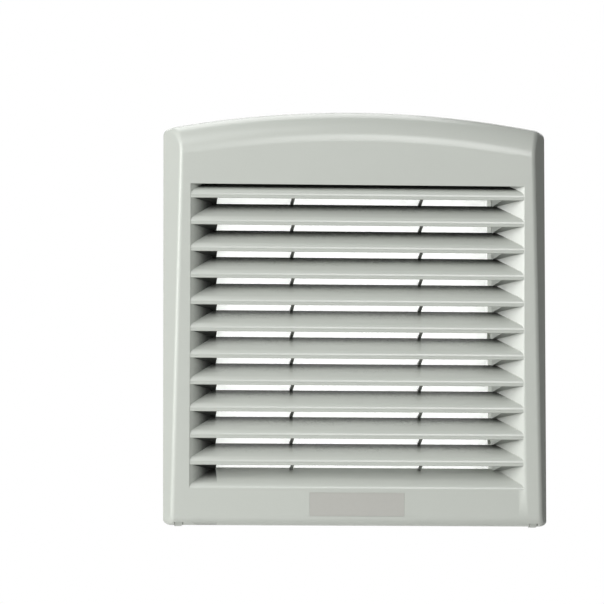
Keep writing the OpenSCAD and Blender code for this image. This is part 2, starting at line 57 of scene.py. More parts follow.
def pickEdges(obj, test):
    # leaves obj in edit mode with the edges selected for which test(a, b) holds
    pickObject(obj)
    bpy.ops.object.mode_set(mode="EDIT")
    bpy.ops.mesh.select_mode(type="EDGE")
    bpy.ops.mesh.select_all(action="DESELECT")
    bpy.ops.object.mode_set(mode="OBJECT")
    mesh = obj.data
    for edge in mesh.edges:
        a, b = (mesh.vertices[i].co / mm for i in edge.vertices)
        edge.select = bool(test(a, b))
    bpy.ops.object.mode_set(mode="EDIT")


def roundEdges(obj, test, width, segments):
    pickEdges(obj, test)
    bpy.ops.mesh.bevel(offset=width * mm, segments=segments, affect="EDGES", clamp_overlap=False)
    bpy.ops.object.mode_set(mode="OBJECT")


def slicePiece(obj, point, normal):
    # cuts away what lies on the normal's side of the plane
    pickObject(obj)
    bpy.ops.object.mode_set(mode="EDIT")
    bpy.ops.mesh.select_all(action="SELECT")
    bpy.ops.mesh.bisect(plane_co=Vector(point) * mm, plane_no=Vector(normal).normalized(),
                        use_fill=True, clear_outer=True, threshold=1e-6)
    bpy.ops.object.mode_set(mode="OBJECT")


def combine(obj, tool, how):
    pickObject(obj)
    step = obj.modifiers.new("combine", "BOOLEAN")
    step.operation, step.solver, step.object = how, "EXACT", tool
    bpy.ops.object.modifier_apply(modifier=step.name)
    bpy.data.objects.remove(tool, do_unlink=True)
    return obj


def joinPieces(first, *others):
    pickObject(first)
    for other in others:
        other.select_set(True)
    bpy.ops.object.join()
    return first


def tidyMesh(obj):
    # merges doubled points and turns every face outwards
    pickObject(obj)
    bpy.ops.object.mode_set(mode="EDIT")
    bpy.ops.mesh.select_all(action="SELECT")
    bpy.ops.mesh.remove_doubles(threshold=0.004 * mm)
    bpy.ops.mesh.normals_make_consistent(inside=False)
    bpy.ops.object.mode_set(mode="OBJECT")


def addBlock(name, low, high):
    clearSelection()
    low, high = Vector(low), Vector(high)
    bpy.ops.mesh.primitive_cube_add(size=mm, location=(low + high) / 2 * mm)
    obj = bpy.context.object
    obj.name = name
    obj.scale = high - low
    bpy.ops.object.transform_apply(location=True, rotation=False, scale=True)
    return obj


def addRod(name, start, axis, radius, length):
    clearSelection()
    turn = Vector((0, 0, 1)).rotation_difference(Vector(axis)).to_euler()
    middle = Vector(start) + Vector(axis) * length / 2
    bpy.ops.mesh.primitive_cylinder_add(vertices=48, radius=radius * mm, depth=length * mm,
                                        location=middle * mm, rotation=turn)
    obj = bpy.context.object
    obj.name = name
    bpy.ops.object.transform_apply(location=True, rotation=True, scale=True)
    return obj


def addPrism(name, points, along):
    # an outline, given point by point in space, pulled out along a vector
    clearSelection()
    bpy.ops.mesh.primitive_circle_add(vertices=len(points), fill_type="NGON", radius=0.1)
    obj = bpy.context.object
    obj.name = name
    for vertex, point in zip(obj.data.vertices, points):
        vertex.co = Vector(point) * mm
    pickObject(obj)
    bpy.ops.object.mode_set(mode="EDIT")
    bpy.ops.mesh.select_all(action="SELECT")
    bpy.ops.mesh.extrude_region_move(TRANSFORM_OT_translate={"value": Vector(along) * mm})
    bpy.ops.mesh.select_all(action="SELECT")
    bpy.ops.mesh.normals_make_consistent(inside=False)
    bpy.ops.object.mode_set(mode="OBJECT")
    return obj


def copyPiece(obj, name, shift):
    twin = obj.copy()
    twin.data = obj.data.copy()
    twin.name = name
    bpy.context.collection.objects.link(twin)
    twin.data.transform(Matrix.Translation(Vector(shift) * mm))
    return twin


def smoothPiece(obj, angle=32):
    pickObject(obj)
    bpy.ops.object.shade_smooth_by_angle(angle=radians(angle))
    step = obj.modifiers.new("weighted", "WEIGHTED_NORMAL")
    step.keep_sharp = True
    bpy.ops.object.modifier_apply(modifier=step.name)


cover = {
    "halfWidth": 124.0, "bottom": -124.0, "top": 144.0,
    "partY": -3.2,          # where the cover ends, just in front of the flange
    "faceDepth": 21.4,      # from the panel to the face, level with the middle
    "lean": 3.2,            # degrees that the face leans back
    "draft": 21.0,          # degrees that the side walls splay
    "arch": 662.91, "crownRound": 20.0, "bottomRound": 6.5, "backRound": 4.0, "wall": 2.4,
    "slimCrease": 3.4, "topCrease": 5.0, "bottomCrease": 4.2,
}
window = {
    "halfFront": 108.0, "halfBack": 91.3, "depth": 14.9, "top": 94.4, "soffitRise": 7.5,
    "wall": 2.0, "sill": -103.15, "sillRise": 15.8, "rimRound": 0.3,
    "sillGrow": 1.25, "topGrow": 1.2, "sideGrow": 1.4,      # a slanted wall's share of its thickness
}
label = {"halfWidth": 30.6, "halfHeight": 7.6, "depth": 0.5, "height": -111.05}
hinge = {
    "y": -7.2, "z": -120.0, "pin": 2.0, "boss": 3.4, "end": 120.5,
    "slotIn": 111.64, "slotOut": 117.34, "slotFront": -12.3, "slotBack": -2.2, "slotTop": -117.5,
}
drain = {"halfWidth": 116, "front": -5.4, "back": -1.4, "top": -121.4}
louvre = {
    "count": 11, "pitch": 17.15, "first": 85.5, "rise": 14.15, "land": 2.0, "nose": 4.6,
    "slope": 35.0, "setBack": 0.2, "wall": 2.2, "lipRound": 0.55,
    "tuck": 0.25,           # how far each end runs into the window's wall
    "groove": ((0, 1.4), (0.14, 1.5), (0.2, 1.62), (0.14, 1.74), (0, 1.85)),    # depth, height over the lip
}
lean = radians(cover["lean"])
draft = tan(radians(cover["draft"]))
flare = (window["halfFront"] - window["halfBack"]) / window["depth"]
inward = Vector((0, cos(lean), sin(lean)))      # from the front face straight into the cover
wide = 140.0                                    # past both sides of the cover
below = cover["bottom"] - 1


def onFace(x, depth, height):
    # a point given by its depth behind the front face and its height along it
    return Vector((x, -cover["faceDepth"] + depth * cos(lean) - height * sin(lean),
                   depth * sin(lean) + height * cos(lean)))


def faceCoords(point):
    # the reverse of onFace: depth behind the front face and height along it
    y, z = point[1] + cover["faceDepth"], point[2]
    return y * cos(lean) + z * sin(lean), z * cos(lean) - y * sin(lean)


crownHeight = (cover["top"] - (cover["faceDepth"] + cover["partY"]) * tan(lean)) * cos(lean)


def creaseRadius(depth, high):
    # slim between the side walls and the face, wider towards the back corners
    most = cover["topCrease"] if high else cover["bottomCrease"]
    start, length, power = 0.6, 12, 1.3
    growth = min(1, max(0, depth - start) / length) ** power
    return cover["slimCrease"] + (most - cover["slimCrease"]) * growth


def crossSection(inset):
    # rows of the outer form, from the bottom's back over the face to the top's back; each row
    # gives the point and the outward normal at any x, for a surface that lies deeper by "sink"
    rows = []
    lowSteps, highSteps = 9, 18
    farBack, farTop, farCrease = 25, 50, 30     # past the back, where the form is cut off
    hub = cover["bottom"] + cover["bottomRound"]
    hubY = (cover["bottomRound"] - sin(lean) * hub) / cos(lean) - cover["faceDepth"]

    def lowRow(turn, farY=None):
        def at(x, sink):
            reach = cover["bottomRound"] - inset - sink
            y = hubY - reach * sin(turn) if farY is None else farY
            return Vector((x, y, hub - reach * cos(turn))), Vector((0, -sin(turn), -cos(turn)))
        return at

    def highRow(turn, farDepth=None):
        middle = crownHeight - cover["arch"]

        def at(x, sink):
            roll = cover["crownRound"] - inset - sink
            reach = cover["arch"] - cover["crownRound"] + roll * sin(turn)
            depth = cover["crownRound"] - roll * cos(turn) if farDepth is None else farDepth
            height = sqrt(reach ** 2 - x * x)
            tip = onFace(x / reach * sin(turn), -cos(turn), height / reach * sin(turn))
            return onFace(x, depth, middle + height), tip - onFace(0, 0, 0)
        return at

    full = radians(90 - cover["lean"])
    rows.append((lowRow(0, farBack), creaseRadius(farCrease, False)))
    for i in range(lowSteps + 1):
        turn = full * i / lowSteps
        rows.append((lowRow(turn), creaseRadius(cover["bottomRound"] * (1 - sin(turn)), False)))
    for i in range(highSteps + 1):
        turn = pi / 2 / highSteps * i
        rows.append((highRow(turn), creaseRadius(cover["crownRound"] * (1 - cos(turn)), True)))
    rows.append((highRow(pi / 2, farTop), creaseRadius(farCrease, True)))
    return rows


def coverForm(name, inset, backY):
    # the swept form with a rolling-ball round along each side crease
    side = Vector((cos(radians(cover["draft"])), -sin(radians(cover["draft"])), 0))
    steps, across, passes, leastRadius, firstGuess = 6, 36, 6, 0.8, 110
    points, faces, rows = [], [], crossSection(inset)
    for at, radius in rows:
        ball = max(leastRadius, radius - inset)
        centre, normal = at(firstGuess, ball)
        for _ in range(passes):
            edge = cover["halfWidth"] - (inset + ball) / side.x - draft * (cover["partY"] - centre.y)
            centre, normal = at(edge, ball)
        arc = [centre + side.slerp(normal, i / steps) * ball for i in range(steps + 1)]
        reach = arc[-1].x
        middle = [at(reach * (1 - 2 * i / across), 0)[0] for i in range(1, across)]
        points += arc + middle + [Vector((-point.x, point.y, point.z)) for point in reversed(arc)]
    count = len(points) // len(rows)
    starts = [r * count for r in range(len(rows))]
    for here, following in zip(starts, starts[1:]):
        faces += [(here + c, here + c + 1, following + c + 1, following + c) for c in range(count - 1)]
    faces += [starts, [start + count - 1 for start in reversed(starts)]]
    faces.append(list(range(count)) + [starts[-1] + c for c in reversed(range(count))])
    mesh = bpy.data.meshes.new(name)
    mesh.from_pydata([point * mm for point in points], [], faces)
    form = bpy.data.objects.new(name, mesh)
    bpy.context.collection.objects.link(form)
    slicePiece(form, (0, backY, 0), (0, 1, 0))
    tidyMesh(form)
    return form


def noseCurve(lip, front, rise):
    # from the top of the land round the nose and up the slope to the rear
    turn, count = radians(90 - louvre["slope"]), 8
    steps = [i * turn / count for i in range(count + 1)]
    start = lip + louvre["land"]
    curve = [(front + louvre["nose"] * (1 - cos(t)), start + louvre["nose"] * sin(t)) for t in steps]
    return curve + [(window["depth"], lip + rise)]


def windowSolid(name, grow, depth, side):
    # the clear opening, or the block round it when grown by the walls
    slope = window["soffitRise"] / window["depth"]
    sunk = grow * window["sillGrow"]
    curve = [(d, q - sunk) for d, q in noseCurve(window["sill"], 0, window["sillRise"])]
    if depth > window["depth"]:     # or the curve's last point would be doubled
        curve.append((depth, curve[-1][1]))
    raised = window["top"] + grow * window["topGrow"]
    top = [(depth, raised + slope * depth), (-1, raised - slope)]
    outline = [(-1, curve[0][1])] + curve + top
    solid = addPrism(name, [onFace(-wide, d, q) for d, q in outline], (2 * wide, 0, 0))
    for sign in (-1, 1):
        point = onFace(sign * (window["halfFront"] + side), 0, 0)
        slicePiece(solid, point, Vector((sign, 0, 0)) + inward * flare)
    return solid


def faceBlock(name, halfWidth, lowQ, highQ, front, back):
    corners = ((front, lowQ), (back, lowQ), (back, highQ), (front, highQ))
    return addPrism(name, [onFace(-halfWidth, d, q) for d, q in corners], (2 * halfWidth, 0, 0))


def heelWaste():
    # what the round along the bottom's back edge leaves over
    r, steps = cover["backRound"], 8
    back, hub = cover["partY"], cover["bottom"] + cover["backRound"]
    turns = [i * pi / 2 / steps for i in range(steps + 1)]
    outline = [(back - r + r * sin(t), hub - r * cos(t)) for t in turns]
    outline += [(back + 1, hub), (back + 1, below), (back - r, below)]
    return addPrism("heel", [(-wide, y, z) for y, z in outline], (2 * wide, 0, 0))


shell = coverForm("coverShell", 0, cover["partY"])
combine(shell, heelWaste(), "DIFFERENCE")
print("outer form of the cover:", len(shell.data.polygons), "faces")
combine(shell, coverForm("hollow", cover["wall"], 1), "DIFFERENCE")
labelLow, labelHigh = label["height"] - label["halfHeight"], label["height"] + label["halfHeight"]
recess = faceBlock("recess", label["halfWidth"], labelLow, labelHigh, -1, label["depth"])
combine(shell, recess, "DIFFERENCE")
drainLow = (-drain["halfWidth"], drain["front"], below)
drainHigh = (drain["halfWidth"], drain["back"], drain["top"])
combine(shell, addBlock("drain", drainLow, drainHigh), "DIFFERENCE")
for side in (1, -1):
    near, far = sorted((side * hinge["slotIn"], side * hinge["slotOut"]))
    slot = addBlock("slot", (near, hinge["slotFront"], below), (far, hinge["slotBack"], hinge["slotTop"]))
    combine(shell, slot, "DIFFERENCE")
for side in (-1, 1):
    for radius, start in ((hinge["boss"], hinge["slotOut"]), (hinge["pin"], hinge["slotIn"])):
        foot = (side * start, hinge["y"], hinge["z"])
        combine(shell, addRod("trunnion", foot, (side, 0, 0), radius, hinge["end"] - start), "UNION")
block = windowSolid("windowBlock", window["wall"], window["depth"], window["wall"] * window["sideGrow"])
slicePiece(block, onFace(0, cover["wall"] / 2, 0), -inward)
combine(shell, block, "UNION")
combine(shell, windowSolid("opening", 0, window["depth"] + 1, 0), "DIFFERENCE")


def onRim(a, b):
    # the window's front edge: its two sides and its top
    (da, qa), (db, qb) = faceCoords(a), faceCoords(b)
    slack = 0.1
    if max(abs(da), abs(db)) > 0.01 or min(qa, qb) < window["sill"] + louvre["land"] - slack:
        return False
    if max(abs(a.x), abs(b.x)) > window["halfFront"] + slack:
        return False
    return min(abs(a.x), abs(b.x)) > window["halfFront"] - slack or min(qa, qb) > window["top"] - slack


roundEdges(shell, onRim, window["rimRound"], 2)
print("cover shell with window, recess, slots and trunnions:", len(shell.data.polygons), "faces")
tidyMesh(shell)
smoothPiece(shell)
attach(shell, "cover")
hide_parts("cover_shell", "window_frame")


def uprightThickness():
    # of a louvre's sloped wall
    return louvre["wall"] / cos(radians(louvre["slope"]))


def louvreBar(name, lip):
    front, back = louvre["setBack"], louvre["setBack"] + louvre["wall"]
    curve = noseCurve(lip, front, louvre["rise"])
    slope = (curve[-1][1] - curve[-2][1]) / (curve[-1][0] - curve[-2][0])
    rear = lip + louvre["rise"] - uprightThickness()
    tail = [(window["depth"], rear), (back, rear - (window["depth"] - back) * slope)]
    r = louvre["lipRound"]
    toe = [(front + r * (1 - cos(t)), lip + r * (1 - sin(t))) for t in (pi / 2, pi / 3, pi / 6, 0)]
    groove = [(front + depth, lip + height) for depth, height in louvre["groove"]]
    points = [(back, lip)] + toe + groove + curve + tail
    bar = addPrism(name, [onFace(-wide, d, q) for d, q in points], (2 * wide, 0, 0))
    for side in (-1, 1):
        end = onFace(side * (window["halfFront"] + louvre["tuck"]), 0, 0)
        slicePiece(bar, end, Vector((side, 0, 0)) + inward * flare)
    tidyMesh(bar)
    return bar


topBar = louvreBar("louvre0", louvre["first"])
bars = [topBar]
for i in range(1, louvre["count"]):
    drop = onFace(0, 0, -i * louvre["pitch"]) - onFace(0, 0, 0)
    bars.append(copyPiece(topBar, f"louvre{i}", drop))
for bar in bars:
    smoothPiece(bar)
    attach(bar, "cover")
    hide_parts("louvre_blades")
print("louvres:", len(bars))

strut = {
    "halfThick": 1.0, "x": 41.5, "stand": 2.0,      # stand: how far a rib ends behind the louvres
    "lap": 0.3, "sunk": 0.2, "past": 0.05,          # how far it runs into the louvres
    "fromLip": 0.02, "toLand": 3.0,                 # its front edge, over the lip
    "heelRise": 1.0, "wide": 3.6, "bellyDrop": 0.4, "bellyRise": 5.4,
}
gusset = {
    "inX": 88, "outX": 110, "lap": 0.35, "outside": 1.5,
    "inner": {-1: 90.2, 1: 88.6}, "slant": {-1: 0.02, 1: 0.4},
}


def betweenLouvres(lip):
    # where a strut starts behind a lip, and depth and height of the lower louvre's rear edge
    start = louvre["setBack"] + louvre["wall"] - strut["sunk"]
    rear = window["depth"] + strut["past"] - strut["lap"]
    return start, rear, lip - louvre["pitch"] + louvre["rise"] - strut["lap"]


def gussetOutline(lip, back):
    start, rear, foot = betweenLouvres(lip)
    head = lip + louvre["rise"] - gusset["lap"]
    return [(start, lip + strut["fromLip"]), (rear, foot), (back, foot), (back, head),
            (rear, head - uprightThickness() / 2), (start, lip + strut["toLand"])]


def ribOutline(lip, back):
    # a strut that leans back from one louvre's lip to the rear edge of the next
    start, rear, foot = betweenLouvres(lip)
    heel, belly = foot + strut["lap"] + strut["heelRise"], start + strut["wide"]
    return [(start, lip + strut["fromLip"]), (rear, foot), (back, foot), (back, heel),
            (belly, lip - strut["bellyDrop"]), (belly, lip + strut["bellyRise"]),
            (start, lip + strut["toLand"])]


def addStruts(name, shape, lowX, highX, back):
    joined = None
    for i in range(louvre["count"]):
        outline = shape(louvre["first"] - i * louvre["pitch"], back)
        part = addPrism(f"{name}{i}", [onFace(lowX, d, q) for d, q in outline], (highX - lowX, 0, 0))
        joined = joinPieces(joined, part) if joined else part
    joined.name = name
    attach(joined, "cover")
    return joined


ribs, gussets = [], []
for name, side in (("Left", -1), ("Right", 1)):
    low, high = side * strut["x"] - strut["halfThick"], side * strut["x"] + strut["halfThick"]
    ribs.append(addStruts(f"rib{name}", ribOutline, low, high, window["depth"] + strut["stand"]))
for name, side in (("Left", -1), ("Right", 1)):
    low, high = side * gusset["inX"], side * gusset["outX"]
    piece = addStruts(f"gusset{name}", gussetOutline, low, high, window["depth"])
    outwards = Vector((side, 0, 0))
    inner = onFace(side * gusset["inner"][side], window["depth"], 0)
    slicePiece(piece, inner, -outwards - inward * gusset["slant"][side])
    outer = onFace(side * (window["halfFront"] + gusset["outside"]), 0, 0)
    slicePiece(piece, outer, outwards + inward * flare)
    gussets.append(piece)
print("ribs and gussets done")


# degrees, metres and pixels to a millimetre; the origin is at pixel (originX, originY)
view = {"azimuth": -5.62, "elevation": -5.63, "roll": -0.128, "distance": 3.748, "scale": 1.5464,
        "originX": 354.33, "originY": 334.95, "frame": 604, "sensor": 36}


def setCamera():
    a, e, r = (radians(view[k]) for k in ("azimuth", "elevation", "roll"))
    back = Vector((sin(a) * cos(e), -cos(a) * cos(e), sin(e)))
    right = Vector((cos(a), sin(a), 0))
    up = back.cross(right)
    up = up if up.z > 0 else -up
    rolledRight = right * cos(r) + up * sin(r)
    rolledUp = -right * sin(r) + up * cos(r)
    half = view["frame"] / 2
    offset = rolledRight * (half - view["originX"]) + rolledUp * (view["originY"] - half)
    aim = offset / view["scale"] * mm
    place = back * view["distance"]
    forward = (aim - place).normalized()
    side = forward.cross(rolledUp).normalized()
    cam = bpy.data.cameras.new("camera")
    cam.sensor_width = view["sensor"]
    cam.lens = view["sensor"] * view["scale"] / mm * (aim - place).length / view["frame"]
    cam.clip_start, cam.clip_end = 0.1, 60
    holder = bpy.data.objects.new("camera", cam)
    bpy.context.collection.objects.link(holder)
    top = side.cross(forward)
    holder.matrix_world = Matrix((side, top, -forward)).transposed().to_4x4()
    holder.location = place
    bpy.context.scene.camera = holder


setCamera()


class Wire:
    # a node's output; arithmetic on it adds Math nodes
    def __init__(self, finish, socket):
        self.finish, self.socket = finish, socket

    def maths(self, operation, *values):
        return self.finish.add("ShaderNodeMath", {"operation": operation}, dict(enumerate(values)))

    def __add__(self, other):
        return self.maths("ADD", self, other)

    def __radd__(self, other):
        return self.maths("ADD", other, self)

    def __sub__(self, other):
        return self.maths("SUBTRACT", self, other)

    def __rsub__(self, other):
        return self.maths("SUBTRACT", other, self)

    def __mul__(self, other):
        return self.maths("MULTIPLY", self, other)

    def __rmul__(self, other):
        return self.maths("MULTIPLY", other, self)

    def __pow__(self, other):
        return self.maths("POWER", self, other)

    def __abs__(self):
        return self.maths("ABSOLUTE", self)

    def under(self, limit):
        # 1 where this is less than the limit, 0 elsewhere
        return self.maths("LESS_THAN", self, limit)

    def over(self, limit):
        return self.maths("GREATER_THAN", self, limit)

    def atLeast(self, other):
        return self.maths("MAXIMUM", self, other)


class Nodes:
    def __init__(self, tree):
        self.tree = tree

    def add(self, kind, settings=None, inputs=None, output=0):
        node = self.tree.nodes.new(kind)
        for key, value in (settings or {}).items():
            if key == "stops":
                for i, (place, shade) in enumerate(value):
                    element = node.color_ramp.elements[i] if i < 2 else node.color_ramp.elements.new(place)
                    element.position, element.color = place, (shade, shade, shade, 1)
            else:
                setattr(node, key, value)
        for key, value in (inputs or {}).items():
            if isinstance(value, Wire):
                self.tree.links.new(value.socket, node.inputs[key])
            else:
                node.inputs[key].default_value = value
        return Wire(self, node.outputs[output])

    def place(self, scale=(1, 1, 1), turn=(0, 0, 0)):
        where = self.add("ShaderNodeTexCoord", output="Object")
        inputs = {"Vector": where, "Scale": scale, "Rotation": turn}
        return self.add("ShaderNodeMapping", {}, inputs)

    def axis(self, which, vector=None):
        # one coordinate of a vector, or of the place on the piece
        return self.add("ShaderNodeSeparateXYZ", {}, {0: vector or self.place()}, output="XYZ".index(which))

    def facingUp(self):
        return self.axis("Z", self.add("ShaderNodeTexCoord", output="Normal"))

    def noise(self, scale, detail=3.0, rough=0.5, vector=None, distortion=0.0):
        inputs = {"Vector": vector or self.place(), "Scale": scale, "Detail": detail,
                  "Roughness": rough, "Distortion": distortion}
        return self.add("ShaderNodeTexNoise", {}, inputs)

    def ramp(self, wire, *stops):
        return self.add("ShaderNodeValToRGB", {"stops": stops}, {"Fac": wire})

    def blend(self, factor, first, second):
        # two colours, whose sockets follow those for numbers and vectors
        return self.add("ShaderNodeMix", {"data_type": "RGBA"}, {0: factor, 6: first, 7: second}, output=2)

    def bump(self, height, distance, strength=1.0, under=None):
        inputs = {"Height": height, "Distance": distance, "Strength": strength}
        if under:
            inputs["Normal"] = under
        return self.add("ShaderNodeBump", {}, inputs)


class Finish(Nodes):
    def __init__(self, name, colour, **constants):
        self.material = bpy.data.materials.new(name)
        self.material.use_nodes = True
        super().__init__(self.material.node_tree)
        self.shader = self.tree.nodes["Principled BSDF"]
        self.material.diffuse_color = (*colour, 1)
        self.shader.inputs["Base Color"].default_value = (*colour, 1)
        for key, value in constants.items():
            self.shader.inputs[key.replace("_", " ")].default_value = value

    def feed(self, name, wire):
        self.tree.links.new(wire.socket, self.shader.inputs[name])

    def mixIn(self, factor, other):
        # part of the light goes through another shader
        own = Wire(self, self.shader.outputs[0])
        both = self.add("ShaderNodeMixShader", {}, {0: factor, 1: own, 2: other})
        self.tree.links.new(both.socket, self.tree.nodes["Material Output"].inputs["Surface"])

    def dress(self, *objs):
        for obj in objs:
            obj.data.materials.clear()
            obj.data.materials.append(self.material)


def shade(colour, factor):
    return tuple(min(1, c * factor) for c in colour[:3]) + (1,)


def facePlace(skin):
    # distance from the middle plane, depth behind the front face and height along it
    here = skin.place()
    x, y, z = (skin.axis(which, here) for which in "XYZ")
    behind = y + cover["faceDepth"] * mm
    return abs(x), behind * cos(lean) + z * sin(lean), z * cos(lean) - behind * sin(lean)


# painted shade, dark strands and fluff on the louvres, the window wall, the gussets and the ribs
shadeAndFluff = {
    "deep": 0.02, "hair": 0.2, "fluff": 0.06,       # what is left of the plastic's colour under each
    "soffit": 90.0, "sideIn": 90.0, "crown": 108.0, "wallLap": 0.6,
    "curlScale": 170.0, "hairScale": 120.0, "driftScale": 60.0, "fluffScale": 300.0,
}


def paintedRearShade(skin, tone, colour):
    # painted shade where the louvres run in under the next ones: near black at the rear edge, deeper under
    # the soffit, on the faces that look down, and in dark curly strands
    _, depth, height = facePlace(skin)
    # the painted shade reaches further forward where the soffit hangs over the top louvre
    underSoffit = (height - shadeAndFluff["soffit"] * mm).atLeast(0.0) * 2.6
    reach = (depth + underSoffit) * (1 / mm / window["depth"])
    # painted shade, from the plastic's colour down to near black at the rear edge, with a curly boundary
    curl = skin.noise(shadeAndFluff["curlScale"], 4.0, 0.7, distortion=1.8)
    edge = skin.ramp(reach + (curl - 0.5) * 0.12, (0.5, 0), (0.57, 0.1), (0.63, 0.31), (0.69, 0.53),
                     (0.75, 0.72), (0.81, 0.86), (0.9, 0.94), (0.97, 0.98))
    upper = skin.ramp(height * 5 + 0.5, (0.575, 0), (0.775, 1))
    edge = (edge ** (1.8 - upper * 0.8)) * (0.88 + upper * 0.12)
    # painted shade on the faces that look down
    facingDown = 0.5 - skin.facingUp() * 0.5
    underShade = skin.ramp(facingDown, (0.6, 0), (0.8, 0.75)) * skin.ramp(depth * 100, (0.1, 0), (0.25, 1))
    edge = edge.atLeast(underShade)
    # dark curly strands of painted shade towards the rear edge
    hair = skin.noise(shadeAndFluff["hairScale"], 3.0, 0.6, distortion=3.0)
    hair = skin.ramp(hair, (0.475, 0), (0.5, 1), (0.525, 0))
    drift = skin.ramp(skin.noise(shadeAndFluff["driftScale"], 2.0), (0.4, 0), (0.6, 1))
    strandShade = hair * drift * skin.ramp(reach, (0.3, 0), (0.75, 0.6))
    tone = skin.blend(strandShade, tone, shade(colour, shadeAndFluff["hair"]))
    return skin.blend(edge, tone, shade(colour, shadeAndFluff["deep"]))


def leftWallShade(skin, tone, colour):
    # the same painted shade on the left side wall of the window, darker towards the rear
    across, depth, height = facePlace(skin)
    wall = (window["halfFront"] + shadeAndFluff["wallLap"]) * mm - depth * flare
    inside = across.under(wall) * across.over(shadeAndFluff["sideIn"] * mm)
    inside = inside * skin.axis("X").under(0.0) * height.under(shadeAndFluff["crown"] * mm)
    curl = skin.noise(shadeAndFluff["curlScale"], 4.0, 0.7, distortion=1.8)
    reach = depth * (1 / mm / window["depth"]) + (curl - 0.5) * 0.15
    dark = skin.ramp(reach, (0.1, 0), (0.35, 0.4), (0.55, 0.8), (0.7, 0.94), (0.9, 0.99))
    return skin.blend(dark * inside, tone, shade(colour, shadeAndFluff["deep"]))


def gussetShade(skin, tone, colour):
    # painted shade on the faces that look down, and all over the left gusset
    left = skin.axis("X").under(0.0)
    facingDown = 0.5 - skin.facingUp() * 0.5
    underShade = skin.ramp(facingDown, (0.6, 0), (0.75, 1)) * (0.6 + left * 0.37)
    return skin.blend(underShade.atLeast(left * 0.93), tone, shade(colour, shadeAndFluff["deep"]))


def webShadeAndFluff(skin, tone, colour):
    # dark mottling over the ribs: partly fluff, partly painted shade from the louvres above
    fluff = skin.noise(shadeAndFluff["fluffScale"], 4.0, 0.7, distortion=1.5)
    return skin.blend(skin.ramp(fluff, (0.35, 0.55), (0.6, 0.95)), tone, shade(colour, shadeAndFluff["fluff"]))


def mouldedPlastic(name, colour, rough, speckle=0.03, addShadeAndFluff=None):
    skin = Finish(name, colour, Specular_IOR_Level=0.5, IOR=1.5)
    cloud = skin.noise(9.0, 2.0)
    grain = skin.noise(900.0, 2.0, 0.6)
    tone = skin.blend(cloud, shade(colour, 0.985), shade(colour, 1.015))
    tone = skin.blend(skin.ramp(grain, (0.35, 1), (0.65, 0)) * speckle, tone, shade(colour, 0.75))
    # painted shade, and on the ribs fluff too, where a piece has it
    if addShadeAndFluff:
        tone = addShadeAndFluff(skin, tone, colour)
    skin.feed("Base Color", tone)
    skin.feed("Roughness", skin.noise(35.0, 3.0) * 0.08 + (rough - 0.04))
    peel = skin.bump(skin.noise(420.0, 2.0, 0.5), 0.00002, 0.35)
    skin.feed("Normal", skin.bump(cloud, 0.0003, 0.25, peel))
    return skin


paleGrey = (0.585, 0.612, 0.566)
# the cover's left window wall, the louvres, the gussets and the ribs carry painted shade
coverPlastic = mouldedPlastic("coverPlastic", paleGrey, 0.24, addShadeAndFluff=leftWallShade)
louvrePlastic = mouldedPlastic("louvrePlastic", paleGrey, 0.2, addShadeAndFluff=paintedRearShade)
gussetPlastic = mouldedPlastic("gussetPlastic", paleGrey, 0.3, addShadeAndFluff=gussetShade)
webPlastic = mouldedPlastic("webPlastic", paleGrey, 0.4, addShadeAndFluff=webShadeAndFluff)
basePlastic = mouldedPlastic("basePlastic", (0.56, 0.585, 0.54), 0.42, 0.05)
coverPlastic.dress(shell, nodes["cover_webs"], nodes["cover_tongues"])
gussetPlastic.dress(*gussets)
webPlastic.dress(*ribs)
louvrePlastic.dress(*bars)
basePlastic.dress(*[nodes[name] for name in (
    "base_flange", "hinge_ears", "tongue_keepers", "base_collar", "filter_tray", "tray_webs",
    "claw_pockets", "rear_guard")])

clawNylon = Finish("clawNylon", (0.03, 0.031, 0.033))
fibre = clawNylon.noise(260.0, 4.0, 0.7)
clawNylon.feed("Base Color", clawNylon.blend(fibre, (0.022, 0.023, 0.025, 1), (0.05, 0.05, 0.053, 1)))
clawNylon.feed("Roughness", fibre * 0.25 + 0.35)
clawNylon.feed("Normal", clawNylon.bump(fibre, 0.00005, 0.5))
for corner in ("top_left", "top_right", "bottom_left", "bottom_right"):
    clawNylon.dress(nodes[f"claw_{corner}"])

zinc = Finish("zincSteel", (0.62, 0.63, 0.64), Metallic=1.0)
brushed = zinc.noise(900.0, 3.0, 0.6, vector=zinc.place((1, 0.15, 1)))
zinc.feed("Base Color", zinc.blend(brushed, (0.52, 0.53, 0.54, 1), (0.72, 0.73, 0.74, 1)))
zinc.feed("Roughness", brushed * 0.2 + 0.22)
zinc.feed("Normal", zinc.bump(brushed, 0.00002, 0.4))
zinc.dress(nodes["fixing_screws"])

foil = Finish("labelFoil", (0.5, 0.5, 0.465))
foilGrain = foil.noise(500.0, 2.0)
foil.feed("Base Color", foil.blend(foilGrain, (0.49, 0.49, 0.455, 1), (0.51, 0.51, 0.475, 1)))
foil.feed("Roughness", foilGrain * 0.1 + 0.38)
foil.dress(nodes["blank_label"])

